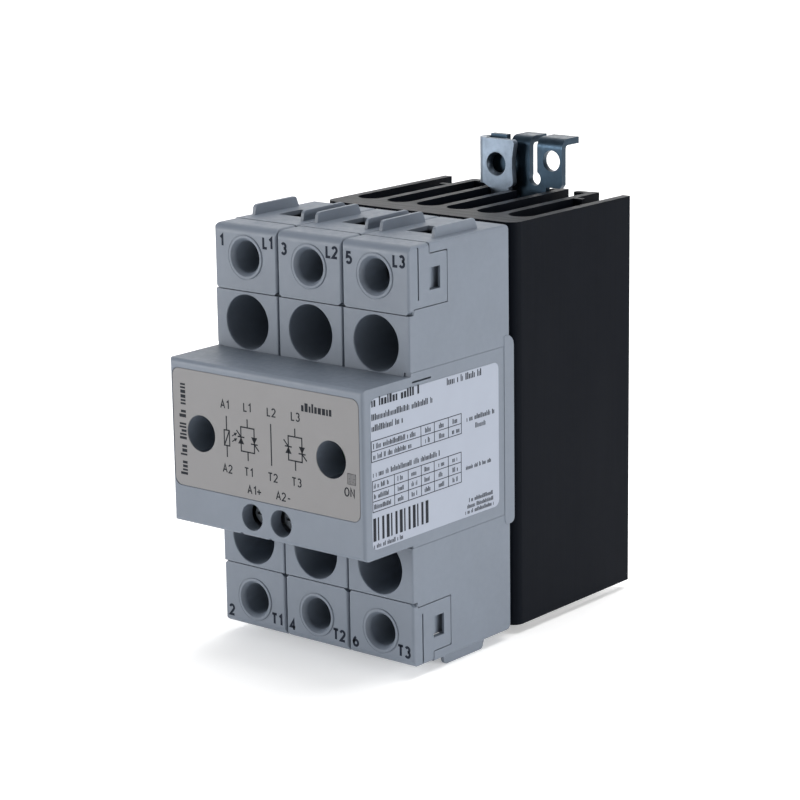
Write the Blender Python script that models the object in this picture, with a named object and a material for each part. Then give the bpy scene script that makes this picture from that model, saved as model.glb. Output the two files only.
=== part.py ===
"""Three-pole DIN-rail solid state relay with an integral heat sink.

Sizes are in millimetres in the device frame: x to the right, y from the poles' front face
towards the rail, z from the middle of the height.  The rail_frame empty turns that into
the part's own frame, whose origin is the middle of the rail seat.
"""

import math

import bmesh
import bpy
from mathutils import Matrix, Vector

MM = 0.001

# Driving dimensions
POLE_PITCH = 18.0
HALF_WIDTH = 27.0
SEAM = 0.15                   # half of the gap between two poles
BODY_DEPTH = 33.6
BODY_TOP = 45.2
MODULE_DEPTH = 15.2           # how far the control module stands out
MODULE_HALF = 18.05
TERMINAL_Z = 38.3
WELL_Z = 24.1
SINK_FRONT, SINK_REAR = 36.1, 79.7
SINK_BOTTOM, SINK_TOP = -45.4, 44.9
SINK_HALF = 26.65
FIN_PITCH, FIN_THICK = 8.53, 2.1
SLOT_FRONT = 43.2
RAIL_SEAT = SINK_REAR         # the fins' rear ends rest on the rail
RAIL_HALF = 17.5              # half the height of a 35 mm rail
CONTROL_Z = -13.6
CONTROL_X = (-4.15, 4.0)
ACCESS_X, ACCESS_Z = 18.2, 2.5
LED_X, LED_Z = 23.65, -0.8

LATCH_Z = (35.5, 39.6)

UPPER, LOWER = 1, -1
POLES = (0, 1, 2)
TERMINALS = [(0, UPPER, "l1"), (1, UPPER, "l2"), (2, UPPER, "l3"),
             (0, LOWER, "t1"), (1, LOWER, "t2"), (2, LOWER, "t3")]

for old in list(bpy.data.objects):
    bpy.data.objects.remove(old, do_unlink=True)

RAIL_FRAME = bpy.data.objects.new("rail_frame", None)
bpy.context.scene.collection.objects.link(RAIL_FRAME)
RAIL_FRAME.location = (0.0, -RAIL_SEAT * MM, 0.0)


# ---------------------------------------------------------------- materials

def material(name, colour, roughness, metallic=0.0):
    mat = bpy.data.materials.new(name)
    mat.use_nodes = True
    shader = mat.node_tree.nodes["Principled BSDF"]
    shader.inputs["Base Color"].default_value = (*colour, 1.0)
    shader.inputs["Roughness"].default_value = roughness
    shader.inputs["Metallic"].default_value = metallic
    mat.diffuse_color = (*colour, 1.0)
    return mat


GREY_PLASTIC = material("grey_plastic", (0.42, 0.46, 0.51), 0.55)
COVER_PLASTIC = material("cover_plastic", (0.44, 0.48, 0.53), 0.55)
BLACK_ALUMINIUM = material("black_aluminium", (0.035, 0.037, 0.045), 0.5, 0.6)
BARE_ALUMINIUM = material("bare_aluminium", (0.6, 0.6, 0.61), 0.4, 1.0)
ZINC_STEEL = material("zinc_steel", (0.55, 0.63, 0.68), 0.35, 1.0)
COPPER = material("tinned_copper", (0.72, 0.62, 0.52), 0.35, 1.0)
BRASS = material("brass", (0.7, 0.55, 0.25), 0.35, 1.0)
FRONT_LABEL = material("front_label", (0.5, 0.49, 0.49), 0.6)
SIDE_LABEL = material("side_label", (0.62, 0.65, 0.7), 0.4)
CLEAR_PLASTIC = material("clear_plastic", (0.5, 0.5, 0.5), 0.2)
GREEN_LED = material("green_led", (0.1, 0.45, 0.15), 0.3)
BOARD = material("circuit_board", (0.05, 0.22, 0.1), 0.5)
BLACK_PLASTIC = material("black_plastic", (0.03, 0.03, 0.03), 0.5)
CERAMIC = material("ceramic", (0.85, 0.85, 0.82), 0.6)
PAD = material("thermal_pad", (0.55, 0.55, 0.58), 0.8)
SPRING_STEEL = material("spring_steel", (0.5, 0.5, 0.52), 0.3, 1.0)


# ---------------------------------------------------------------- shape helpers

def place_mesh(bm, name, mat=None, pivot=(0, 0, 0)):
    """Turn a bmesh drawn in millimetres into an object with its origin at the pivot."""
    bmesh.ops.recalc_face_normals(bm, faces=bm.faces)
    bm.transform(Matrix.Scale(MM, 4) @ Matrix.Translation(-Vector(pivot)))
    mesh = bpy.data.meshes.new(name)
    bm.to_mesh(mesh)
    bm.free()
    obj = bpy.data.objects.new(name, mesh)
    bpy.context.scene.collection.objects.link(obj)
    obj.parent = RAIL_FRAME
    obj.location = Vector(pivot) * MM
    if mat:
        mesh.materials.append(mat)
    else:
        obj.hide_render = True
        obj.display_type = "WIRE"
    return obj


def box(x, y, z, name="tool", mat=None, pivot=(0, 0, 0)):
    """A block from three (low, high) pairs."""
    x, y, z = sorted(x), sorted(y), sorted(z)
    bm = bmesh.new()
    bmesh.ops.create_cube(bm, size=1.0)
    size = Vector((x[1] - x[0], y[1] - y[0], z[1] - z[0]))
    centre = Vector(((x[0] + x[1]) / 2, (y[0] + y[1]) / 2, (z[0] + z[1]) / 2))
    bmesh.ops.scale(bm, vec=size, verts=bm.verts)
    bmesh.ops.translate(bm, vec=centre, verts=bm.verts)
    return place_mesh(bm, name, mat, pivot)


AXES = {"x": lambda u, v, w: (w, u, v), "y": lambda u, v, w: (u, w, v), "z": lambda u, v, w: (u, v, w)}


def prism(outline, axis, low, high, name="tool", mat=None, pivot=(0, 0, 0)):
    """Extrude a flat outline along one axis; its two numbers are the other two axes in order."""
    to_space = AXES[axis]
    bm = bmesh.new()
    face = bm.faces.new([bm.verts.new(to_space(u, v, low)) for u, v in outline])
    grown = bmesh.ops.extrude_face_region(bm, geom=[face])
    moved = [item for item in grown["geom"] if isinstance(item, bmesh.types.BMVert)]
    bmesh.ops.translate(bm, vec=Vector(to_space(0, 0, high - low)), verts=moved)
    return place_mesh(bm, name, mat, pivot)


def turned(x, z, profile, name="tool", mat=None, pivot=None, segments=16, axis="y"):
    """Revolve (distance along the axis, radius) points about the line at the two other coordinates."""
    to_space = AXES[axis]
    bm = bmesh.new()
    rings = []
    for along, radius in profile:
        ring = []
        for step in range(segments):
            angle = 2 * math.pi * step / segments
            u, v = x + radius * math.cos(angle), z + radius * math.sin(angle)
            ring.append(bm.verts.new(to_space(u, v, along)))
        rings.append(ring)
    for low, high in zip(rings, rings[1:]):
        for step in range(segments):
            following = (step + 1) % segments
            bm.faces.new((low[step], low[following], high[following], high[step]))
    bm.faces.new(rings[0])
    bm.faces.new(rings[-1])
    return place_mesh(bm, name, mat, pivot or (0, 0, 0))


def rod(x, z, radius, low, high, segments=16, **naming):
    """A round bar along y."""
    return turned(x, z, [(low, radius), (high, radius)], segments=segments, **naming)


def boolean(target, operation, tools):
    for tool in tools:
        step = target.modifiers.new(operation.lower(), "BOOLEAN")
        step.operation = operation
        step.solver = "EXACT"
        step.object = tool
    return target


def cut(target, *tools):
    return boolean(target, "DIFFERENCE", tools)


def add(target, *tools):
    return boolean(target, "UNION", tools)


def arc(cx, cy, radius, start, stop, steps):
    """Points on an arc, angles in degrees."""
    return [(cx + radius * math.cos(math.radians(start + (stop - start) * i / steps)),
             cy + radius * math.sin(math.radians(start + (stop - start) * i / steps)))
            for i in range(steps + 1)]


def rows(low, high, row):
    """A (low, high) pair of heights for the upper row, turned over for the lower one."""
    return sorted((low * row, high * row))


def flip(outline, row):
    """An (any, height) outline drawn for the upper row, turned over for the lower one."""
    return [(u, height * row) for u, height in outline]


def pole_x(pole):
    return (pole - 1) * POLE_PITCH


def pole_span(pole):
    """The two side faces of a pole: flush with the module outside, a seam inside."""
    middle = pole_x(pole)
    low = middle - POLE_PITCH / 2 + (0 if pole == 0 else SEAM)
    high = middle + POLE_PITCH / 2 - (0 if pole == 2 else SEAM)
    return low, high


def smooth(obj, degrees=35):
    obj.data.shade_smooth()
    obj.data.set_sharp_from_angle(angle=math.radians(degrees))
    return obj


# ---------------------------------------------------------------- heat sink and base

SINK_SCREWS = [(pole_x(pole), WELL_Z * row) for pole, row, _ in TERMINALS]
CLIP_TOP_ROOM = 19.3          # the centre fin stops here to leave room for the clip
HOOK_Z = 16.5                 # lower end of the clip's hook, which reaches behind the rail


def heat_sink():
    half = SINK_HALF
    radius = 2.5
    outline = arc(half - radius, SINK_FRONT + radius, radius, 0, -90, 5)
    outline += arc(-half + radius, SINK_FRONT + radius, radius, -90, -180, 5)
    outline += [(-half, SINK_REAR), (half, SINK_REAR)]
    sink = prism(outline, "z", SINK_BOTTOM, SINK_TOP, "heat_sink", BLACK_ALUMINIUM)
    slot_half = (FIN_PITCH - FIN_THICK) / 2
    low, high = SINK_BOTTOM - 1, SINK_TOP + 1
    for number in range(6):
        middle = (number - 2.5) * FIN_PITCH
        front = arc(middle, SLOT_FRONT + slot_half, slot_half, 180, 360, 8)
        slot = front + [(middle + slot_half, SINK_REAR + 5), (middle - slot_half, SINK_REAR + 5)]
        cut(sink, prism(slot, "z", low, high))
    for side in (-1, 1):
        add(sink, box((side * 12.6, side * 16.6), (77.4, 79.2), (SINK_BOTTOM, SINK_TOP)),
            box((side * 17.6, side * 20.4), (69.6, 71.0), (SINK_BOTTOM, SINK_TOP)),
            box((side * 5.9, side * 8.3), (77.3, 78.6), (SINK_BOTTOM, SINK_TOP)))
    # fixed lips on four inner fins, which hook under the rail's lower edge
    lip = [(SINK_REAR - 0.6, -21.5), (82.4, -21.5), (82.4, -RAIL_HALF + 1.2), (81.0, -RAIL_HALF + 1.2),
           (81.0, -RAIL_HALF - 1.1), (SINK_REAR - 0.6, -RAIL_HALF - 1.1)]
    for number in (-2, -1, 1, 2):
        middle = number * FIN_PITCH
        add(sink, prism(lip, "x", middle - FIN_THICK / 2, middle + FIN_THICK / 2))
    # room for the clip: the centre fin is cut back and the guide lips stop beside the hook
    cut(sink, box((-1.6, 1.6), (71.3, 90), (CLIP_TOP_ROOM, 50)),
        box((-7.4, 7.4), (77.0, 90), (HOOK_Z - 0.4, 26.5)),
        box((-1.6, 1.6), (RAIL_SEAT - 0.4, 90), (HOOK_Z - 0.4, CLIP_TOP_ROOM)))
    for x, z in SINK_SCREWS:
        cut(sink, rod(x, z, 2.45, 34, 42.2, 10))
    cut(sink, turned(73.2, 38.0, [(-12, 1.6), (12, 1.6)], segments=12, axis="x"))
    return sink


def base_plate():
    plate = box((-25.5, 25.5), (33.9, 35.2), (-44, 44), "base_plate", BARE_ALUMINIUM)
    pad = box((-25, 25), (35.5, 35.8), (-43.5, 43.5), "thermal_pad", PAD)
    for x, z in SINK_SCREWS:
        hole = rod(x, z, 2.7, 33, 37, 10)
        cut(plate, hole)
        cut(pad, hole)


# ---------------------------------------------------------------- pole housings

COVER_ROOM = [(-5, 30.6), (1.5, 30.6), (1.8, 31.7), (12.8, 31.7), (12.8, 43.1), (6.9, 43.1),
              (6.9, 60), (-5, 60)]

# the thin guide plates that stand up beside the wire mouths, turned half round in the lower row
WING = [(11.0, 44.6), (11.5, 46.9), (12.2, 47.45), (24.6, 47.5), (25.9, 44.6)]
WINGS = ((-7.95, -7.1), (6.05, 6.85))


def terminal_end(housing, pole, row):
    """The wire funnel, terminal chamber, cover seat and latch tongues of one end of a pole."""
    middle = pole_x(pole)
    low, high = pole_span(pole)
    cut(housing, prism(flip(COVER_ROOM, row), "x", low - 1, high + 1),
        box((middle - 6.9, middle + 6.9), (8.4, 27), rows(32.8, 44.2, row)),
        box((middle - 4.1, middle + 4.1), (26, 29), rows(32.8, 34.6, row)))
    for near, far in WINGS:
        add(housing, prism(flip(WING, row), "x", middle + row * near, middle + row * far))
    cut(housing, box((middle - 3.7, middle + 3.7), (15, 22.3), rows(43, 50, row)))
    notch = [(middle - 1.2, 27.2), (middle + 1.2, 27.2), (middle, 25.2)]
    cut(housing, prism(notch, "z", *rows(44.8, 46.5, row)))
    for side in (-1, 1):
        add(housing, box((middle + side * 6.2, middle + side * 7.35), (7.0, 13.5), rows(35, 40, row)),
            box((middle + side * 7.2, middle + side * 8.1), (7.0, 8.4), rows(*LATCH_Z, row)))


def screw_well(housing, pole, row):
    """The deep well and the seat of one heat sink screw."""
    middle = pole_x(pole)
    add(housing, rod(middle, WELL_Z * row, 3.7, 28, BODY_DEPTH, 12))
    cut(housing, rod(middle, WELL_Z * row, 6.0, -1, 24, 24),
        rod(middle, WELL_Z * row, 2.7, 23, 35, 12))


def corner_chamfers(pole, edge_z, row):
    """Tools that cut off the two front corners of a cover next to its seam."""
    low, high = pole_span(pole)
    tools = []
    for x, inward in ((low, 1), (high, -1)):
        outline = [(x - inward * 0.5, edge_z - 0.4), (x + inward * 1.3, edge_z - 0.4),
                   (x - inward * 0.5, edge_z + 1.2)]
        tools.append(prism(flip(outline, row), "y", -1, 1.1))
    return tools


def pole_housing(pole):
    low, high = pole_span(pole)
    middle = pole_x(pole)
    name = f"pole_housing_{pole + 1}"
    housing = box((low, high), (0, BODY_DEPTH), (-BODY_TOP, BODY_TOP), name, GREY_PLASTIC)
    cut(housing, box((middle - 6.9, middle + 6.9), (28.5, 40), (-43, 43)),
        box((middle - 5.9, middle + 5.9), (1.6, 40), (-16.5, 16.5)))
    for row in (UPPER, LOWER):
        terminal_end(housing, pole, row)
        screw_well(housing, pole, row)
    if pole == 1:
        return housing
    side = -1 if pole == 0 else 1
    # the outer poles carry the module's side walls, its fixing screws and a skirt over the base
    cut(housing, box((side * 25.2, side * 28), (-1, 31.3), (-18.9, 19.1)))
    add(housing, box((side * 25.8, side * 27), (32.6, 35.2), (-20.9, 21.1)),
        rod(side * ACCESS_X, ACCESS_Z, 3.2, -2.1, 9, 12))
    cut(housing, rod(side * ACCESS_X, ACCESS_Z, 1.7, -3, 8, 10))
    for pin in (-4.2, 4.2):
        cut(housing, rod(middle + pin, 0, 0.9, -1, 3, 8))
    return housing


# ---------------------------------------------------------------- terminal covers

COVER_EDGE = 0.4              # chamfer of a cover's upright front edges
COLLAR, TUBE, GUIDE = 4.9, 4.7, 3.4     # radii round a terminal screw's driver hole


def terminal_cover(pole, row, label):
    low, high = pole_span(pole)
    middle = pole_x(pole)
    outline = [(0, 30.9), (1.2, 30.9), (1.5, 32.0), (12.5, 32.0), (12.5, 42.8), (6.6, 42.8),
               (6.6, 45.1)] + arc(2.0, 43.1, 2.0, 90, 180, 3)
    cover = prism(flip(outline, row), "x", low, high, f"terminal_cover_{label}", COVER_PLASTIC)
    plan = [(low + COVER_EDGE, 0), (high - COVER_EDGE, 0), (high, COVER_EDGE), (high, 20), (low, 20),
            (low, COVER_EDGE)]
    boolean(cover, "INTERSECT", [prism(plan, "z", -60, 60)])
    hollow = [(1.6, 33.5), (13, 33.5), (13, 42.05), (5.2, 42.05), (5.2, 43.7), (1.6, 43.7)]
    cut(cover, prism(flip(hollow, row), "x", low + 1.2, high - 1.2))
    height = TERMINAL_Z * row
    add(cover, rod(middle, height, TUBE, 0.8, 7.6, 12), rod(middle, height, COLLAR, -0.25, 1.0, 20))
    cut(cover, turned(middle, height, [(-1, 4.1), (0.5, GUIDE), (9, GUIDE)], segments=20))
    for side in (-1, 1):
        cut(cover, box((middle + side * 7.3, middle + side * 9.5), (6.7, 10.2), rows(35.2, 39.9, row)),
            box((middle + side * 7.3, middle + side * 8.4), (10, 13), rows(35.2, 39.9, row)),
            box((middle + side * 8.35, middle + side * 9.5), (2.8, 3.3), rows(33.6, 44.3, row)))
    cut(cover, *corner_chamfers(pole, 30.9, row))
    return cover


# ---------------------------------------------------------------- power terminals

def cross_recess(screw, x, z, front, depth, length, width):
    """A cross slot in a screw head whose face lies at the front."""
    reach = (front - 1, front + depth)
    cut(screw, box((x - length / 2, x + length / 2), reach, (z - width / 2, z + width / 2)),
        box((x - width / 2, x + width / 2), reach, (z - length / 2, z + length / 2)))


def terminal_screw(x, z, label):
    profile = [(8.2, 3.2), (10.5, 3.4), (10.5, 2.4), (15.7, 2.2)]
    screw = turned(x, z, profile, f"terminal_screw_{label}", ZINC_STEEL, (x, 10, z), segments=12)
    cross_recess(screw, x, z, 8.2, 1.5, 4.4, 0.9)
    return smooth(screw)


def wire_clamp(x, row, label):
    clamp = box((x - 5.4, x + 5.4), (14.1, 24.6), rows(34.4, 41.0, row), f"wire_clamp_{label}",
                ZINC_STEEL, (x, 14, TERMINAL_Z * row))
    cut(clamp, box((x - 4.2, x + 4.2), (15.5, 23.2), rows(30, 45, row)),
        rod(x, TERMINAL_Z * row, 2.75, 13, 16, 12))
    return clamp


BUSBAR_HALF = 3.8
TONGUE = [(16, 33.1), (16, 41.8), (17.5, 41.8), (17.5, 34.1), (30.5, 34.1)]


def busbar(x, row, label, foot):
    """Tongue in the clamp, shelf to the rear, and a riser down to its foot on the power block."""
    outline = TONGUE + [(30.5, foot), (29, foot), (29, 33.1)]
    bar = prism(flip(outline, row), "x", x - BUSBAR_HALF, x + BUSBAR_HALF, f"busbar_{label}", COPPER)
    add(bar, box((x - 6.2, x + 6.2), (29, 30.5), rows(18, 30.5, row)))
    cut(bar, rod(x, WELL_Z * row, 4.2, 28, 32, 12))
    return bar


def through_link(x):
    """The unswitched middle phase: one bar from the line terminal to the load terminal."""
    outline = TONGUE + [(30.5, -34.1), (17.5, -34.1), (17.5, -41.8), (16, -41.8), (16, -33.1),
                        (29, -33.1), (29, 33.1)]
    bar = prism(outline, "x", x - BUSBAR_HALF, x + BUSBAR_HALF, "through_link_l2_t2", COPPER)
    for row in (UPPER, LOWER):
        add(bar, box((x - 6.2, x + 6.2), (29, 30.5), rows(18, 30.5, row)))
        cut(bar, rod(x, WELL_Z * row, 4.2, 28, 32, 12))
    return bar


def power_block(x, number):
    box((x - 5.6, x + 5.6), (32.9, 33.6), (-15, 15), f"ceramic_substrate_{number}", CERAMIC)
    box((x - 5.0, x + 5.0), (30.8, 32.6), (-12, 12), f"thyristor_pair_{number}", BLACK_PLASTIC)
    bridge = box((x - 5.0, x + 5.0), (20, 22), (-1.2, 1.2), f"gate_lead_{number}", BRASS)
    add(bridge, rod(x - 4.2, 0, 0.5, -2.1, 30.5, 6), rod(x + 4.2, 0, 0.5, -2.1, 30.5, 6))


# ---------------------------------------------------------------- control module

def rounded_rectangle(x, z, radius, steps=3):
    """Outline with round corners, as (x, z) points."""
    corners = [(x[1] - radius, z[1] - radius, 0), (x[0] + radius, z[1] - radius, 90),
               (x[0] + radius, z[0] + radius, 180), (x[1] - radius, z[0] + radius, 270)]
    outline = []
    for cx, cz, start in corners:
        outline += arc(cx, cz, radius, start, start + 90, steps)
    return outline


FRONT = -MODULE_DEPTH
LABEL_X, LABEL_Z = (-26.2, 25.8), (-9.7, 16.1)
SIDE_LABEL_Y, SIDE_LABEL_Z = (-12.9, 29.8), (-16.0, 15.9)


def access_hole(side, front, rear, radius):
    """A round screwdriver hole with a small notch above and below."""
    return [rod(side * ACCESS_X, ACCESS_Z, radius, front, rear, 20),
            box((side * ACCESS_X - 0.9, side * ACCESS_X + 0.9), (front, rear),
                (ACCESS_Z - radius - 0.7, ACCESS_Z + radius + 0.7))]


def control_cover():
    edge = 1.2
    outline = [(FRONT + edge, -MODULE_HALF), (FRONT, -MODULE_HALF + edge), (FRONT, MODULE_HALF - edge),
               (FRONT + edge, MODULE_HALF), (0, MODULE_HALF), (0, -MODULE_HALF)]
    cover = prism(outline, "x", -HALF_WIDTH, HALF_WIDTH, "control_cover", GREY_PLASTIC)
    for side in (-1, 1):
        add(cover, box((side * 25.5, side * 27), (-1, 31), (-18.6, 18.8)))
    cut(cover, box((-25.5, 25.5), (FRONT + 1.7, 5), (-16.5, 16.5)),
        box((-25.5, 25.5), (-0.3, 5), (-25, 25)))
    for side in (-1, 1):
        add(cover, rod(side * ACCESS_X, ACCESS_Z, 4.6, FRONT + 1, -7.0))
    for x in CONTROL_X:
        add(cover, rod(x, CONTROL_Z, 3.5, FRONT + 1, -12.1, 12))
    label = rounded_rectangle((LABEL_X[0] - 0.3, LABEL_X[1] + 0.3), (LABEL_Z[0] - 0.3, LABEL_Z[1] + 0.3), 2)
    cut(cover, prism(label, "y", FRONT - 1, FRONT + 0.5))
    side_label = rounded_rectangle((SIDE_LABEL_Y[0] - 0.3, SIDE_LABEL_Y[1] + 0.3),
                                   (SIDE_LABEL_Z[0] - 0.3, SIDE_LABEL_Z[1] + 0.3), 2)
    cut(cover, prism(side_label, "x", HALF_WIDTH - 0.5, HALF_WIDTH + 1),
        box((24, 28), (0.6, 6.8), (16.6, 17.2)),
        box((LED_X - 1.35, LED_X + 1.35), (FRONT - 1, -12), (LED_Z - 1.4, LED_Z + 1.4)))
    for side in (-1, 1):
        cut(cover, *access_hole(side, FRONT - 1, -5, 4.0))
    for x in CONTROL_X:
        cut(cover, rod(x, CONTROL_Z, 2.8, FRONT - 1, -11),
            box((x - 2.0, x + 2.0), (-5.9, -1.3), (-20, -16)))
    return cover


def labels():
    front = prism(rounded_rectangle(LABEL_X, LABEL_Z, 1.8), "y", FRONT, FRONT + 0.2,
                  "front_label", FRONT_LABEL)
    for side in (-1, 1):
        cut(front, *access_hole(side, FRONT - 1, FRONT + 1, 4.0))
    cut(front, box((LED_X - 1.35, LED_X + 1.35), (FRONT - 1, -12), (LED_Z - 1.4, LED_Z + 1.4)))
    prism(rounded_rectangle(SIDE_LABEL_Y, SIDE_LABEL_Z, 1.8), "x", HALF_WIDTH - 0.2, HALF_WIDTH,
          "side_label", SIDE_LABEL)


def control_board():
    board = box((-24.5, 24.5), (-4.0, -2.4), (-15.8, 15.5), "control_board", BOARD)
    cut(board, box((-9, 9), (-6, 0), (-20, -9.4)))
    for side in (-1, 1):
        cut(board, rod(side * ACCESS_X, ACCESS_Z, 1.9, -6, 0, 10))
    for number, x in ((1, -9.5), (3, 9.5)):
        body = [(x - 3.3, -7.3), (x + 3.3, -7.3), (x + 3.6, -5.9), (x + 3.3, -4.3), (x - 3.3, -4.3),
                (x - 3.6, -5.9)]
        prism(body, "z", 4.0, 12.6, f"optocoupler_{number}", BLACK_PLASTIC)
    dome = [(-4.3, 1.1), (-6.0, 1.1), (-6.5, 0.9), (-6.8, 0.45)]
    smooth(turned(LED_X, LED_Z, dome, "status_led", GREEN_LED, segments=16))
    pipe = box((LED_X - 1.05, LED_X + 1.05), (FRONT, -7.2), (LED_Z - 1.1, LED_Z + 1.1),
               "led_light_pipe", CLEAR_PLASTIC)
    add(pipe, box((LED_X - 1.05, LED_X + 1.6), (-10.4, -9.4), (LED_Z - 2.2, LED_Z + 1.1)))


def control_terminal(x, label):
    profile = [(-11.8, 2.25), (-10.4, 2.4), (-10.4, 1.35), (-6.2, 1.2)]
    screw = turned(x, CONTROL_Z, profile, f"control_screw_{label}", ZINC_STEEL, (x, -10, CONTROL_Z),
                   segments=12)
    cut(screw, box((x - 1.7, x + 1.7), (-13, -11.1), (CONTROL_Z - 0.35, CONTROL_Z + 0.35)))
    smooth(screw)
    clamp = box((x - 2.9, x + 2.9), (-7.7, -1.6), (-16.2, -11.0), f"control_clamp_{label}", ZINC_STEEL,
                (x, -7, CONTROL_Z))
    cut(clamp, box((x - 2.1, x + 2.1), (-6.7, -2.5), (-20, -8)),
        rod(x, CONTROL_Z, 1.65, -9, -6, 10))
    pin = box((x - 1.7, x + 1.7), (-5.9, -5.1), (-15.9, -8.2), f"control_pin_{label}", BRASS)
    add(pin, box((x - 1.7, x + 1.7), (-5.9, -4.3), (-9.0, -7.4)))


# ---------------------------------------------------------------- fasteners

def fixing_screw(x, z, profile, slot, name):
    screw = turned(x, z, profile, name, ZINC_STEEL, segments=12)
    cross_recess(screw, x, z, profile[0][0], *slot)
    return smooth(screw)


def fixing_screws():
    sink = [(19.9, 3.8), (23.7, 4.2), (23.7, 2.1), (41.6, 2.1)]
    for (x, z), (_, _, label) in zip(SINK_SCREWS, TERMINALS):
        fixing_screw(x, z, sink, (1.8, 5.0, 1.0), f"heat_sink_screw_{label}")
    module = [(-6.4, 2.4), (-4.3, 2.7), (-4.3, 1.4), (7.0, 1.4)]
    for side, label in ((-1, "left"), (1, "right")):
        fixing_screw(side * ACCESS_X, ACCESS_Z, module, (1.2, 3.2, 0.7), f"module_screw_{label}")


# ---------------------------------------------------------------- rail clip

CLIP_THICK = 1.5
CLIP_FRONT = 75.0             # front face of the clip's main plate
HOOK_Y = (81.0, 82.5)         # the hook hangs behind the rail's 1 mm flange


def bent_flange(x_low, x_high, bend_z, reach):
    """A plate end folded rearwards at the top, drawn as one (y, z) profile."""
    y = CLIP_FRONT
    outer, inner = 2.3, 0.8
    outline = [(y, bend_z - 4)] + arc(y + outer, bend_z, outer, 180, 90, 5)
    outline += [(y + reach, bend_z + outer), (y + reach, bend_z + inner)]
    outline += arc(y + outer, bend_z, inner, 90, 180, 4) + [(y + CLIP_THICK, bend_z - 4)]
    return prism(outline, "x", x_low, x_high)


def din_clip():
    top = 53.8
    outline = [(-6.5, 19.6), (6.5, 19.6), (6.5, 45.6), (10.4, 45.6), (11.0, 46.4), (11.0, top),
               (-3.4, top), (-3.4, 46.4), (-6.5, 46.4)]
    clip = prism(outline, "y", CLIP_FRONT, CLIP_FRONT + CLIP_THICK, "din_clip", ZINC_STEEL)
    add(clip, bent_flange(-3.4, 11.0, 54.6, 6.6))
    # the slot that splits the head in two fingers, with a round end
    cut(clip, box((1.9, 4.0), (70, 90), (47.4, 60)), rod(3.35, 47.4, 1.6, 70, 90, 16),
        rod(8.0, 51.8, 2.4, 70, 80, 20))
    # the earth tab stands in front of the plate, folded round from it at the tab's left edge
    tab = [(-7.0, 43.6), (-2.0, 43.6), (-2.0, 45.4), (-0.7, 47.2), (-0.9, 51.0), (-0.4, 55.4),
           (-1.2, 56.3), (-9.5, 56.3), (-9.5, 47.4), (-7.8, 46.4), (-7.0, 45.4)]
    fold_x, fold_y = -9.4, 74.25
    fold = arc(fold_x, fold_y, 2.25, 270, 90, 6) + [(-4.6, 76.5), (-4.6, 75.0)]
    fold += arc(fold_x, fold_y, 0.75, 90, 270, 4)
    add(clip, prism(tab, "y", 72.0, 73.5), prism(fold, "z", 47.4, 56.3),
        box((-8.2, -3.0), (75.0, 76.5), (45.4, 49.0)))
    thread = [(71.0, 2.9), (72.4, 2.9), (73.0, 2.2), (74.5, 2.2)]
    cut(clip, turned(-5.5, 50.4, thread, segments=16))
    # the hook behind the rail and the tang that the spring presses on
    add(clip, box((-6.5, 6.5), (CLIP_FRONT, HOOK_Y[1]), (19.6, 21.1)),
        box((-6.5, 6.5), HOOK_Y, (HOOK_Z, 21.1)),
        box((-2.5, 2.5), (71.7, 75.4), (20.9, 22.4)))
    return clip


def clip_spring():
    """A compression spring between the clip's tang and the stop pin."""
    coil, wire, turns, low, high = 1.4, 0.3, 5, 23.1, 36.1
    curve = bpy.data.curves.new("clip_spring", "CURVE")
    curve.dimensions = "3D"
    curve.bevel_depth = wire * MM
    curve.bevel_resolution = 0
    curve.use_fill_caps = True
    points = [(coil * math.cos(angle), 73.2 + coil * math.sin(angle), low + (high - low) * share)
              for share, angle in ((i / (turns * 10), i * math.pi / 5) for i in range(turns * 10 + 1))]
    line = curve.splines.new("POLY")
    line.points.add(len(points) - 1)
    for slot, (x, y, z) in zip(line.points, points):
        slot.co = (x * MM, y * MM, z * MM, 1)
    spring = bpy.data.objects.new("clip_spring", curve)
    curve.materials.append(SPRING_STEEL)
    bpy.context.scene.collection.objects.link(spring)
    spring.parent = RAIL_FRAME


def spring_stop_pin():
    profile = [(-9.3, 1.0), (-9.0, 1.3), (9.0, 1.3), (9.3, 1.0)]
    smooth(turned(73.2, 38.0, profile, "spring_stop_pin", ZINC_STEEL, segments=12, axis="x"))


# ---------------------------------------------------------------- assembly

heat_sink()
base_plate()
for pole in POLES:
    pole_housing(pole)
for pole, row, label in TERMINALS:
    terminal_cover(pole, row, label)
    terminal_screw(pole_x(pole), TERMINAL_Z * row, label)
    wire_clamp(pole_x(pole), row, label)
    if pole != 1:
        busbar(pole_x(pole), row, label, 2.5)
through_link(pole_x(1))
for pole in (0, 2):
    power_block(pole_x(pole), pole + 1)
control_cover()
labels()
control_board()
for x, label in zip(CONTROL_X, ("a1", "a2")):
    control_terminal(x, label)
fixing_screws()
din_clip()
clip_spring()
spring_stop_pin()
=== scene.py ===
"""Looks of a three-pole DIN-rail solid state relay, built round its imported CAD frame.

Shapes are drawn in millimetres in the device frame: x to the right, y rearwards from the
poles' front face, z up from the middle of the height.  Main sizes come from the CAD boxes.
"""
import math

import bmesh
import bpy
from mathutils import Euler, Matrix, Vector


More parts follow.
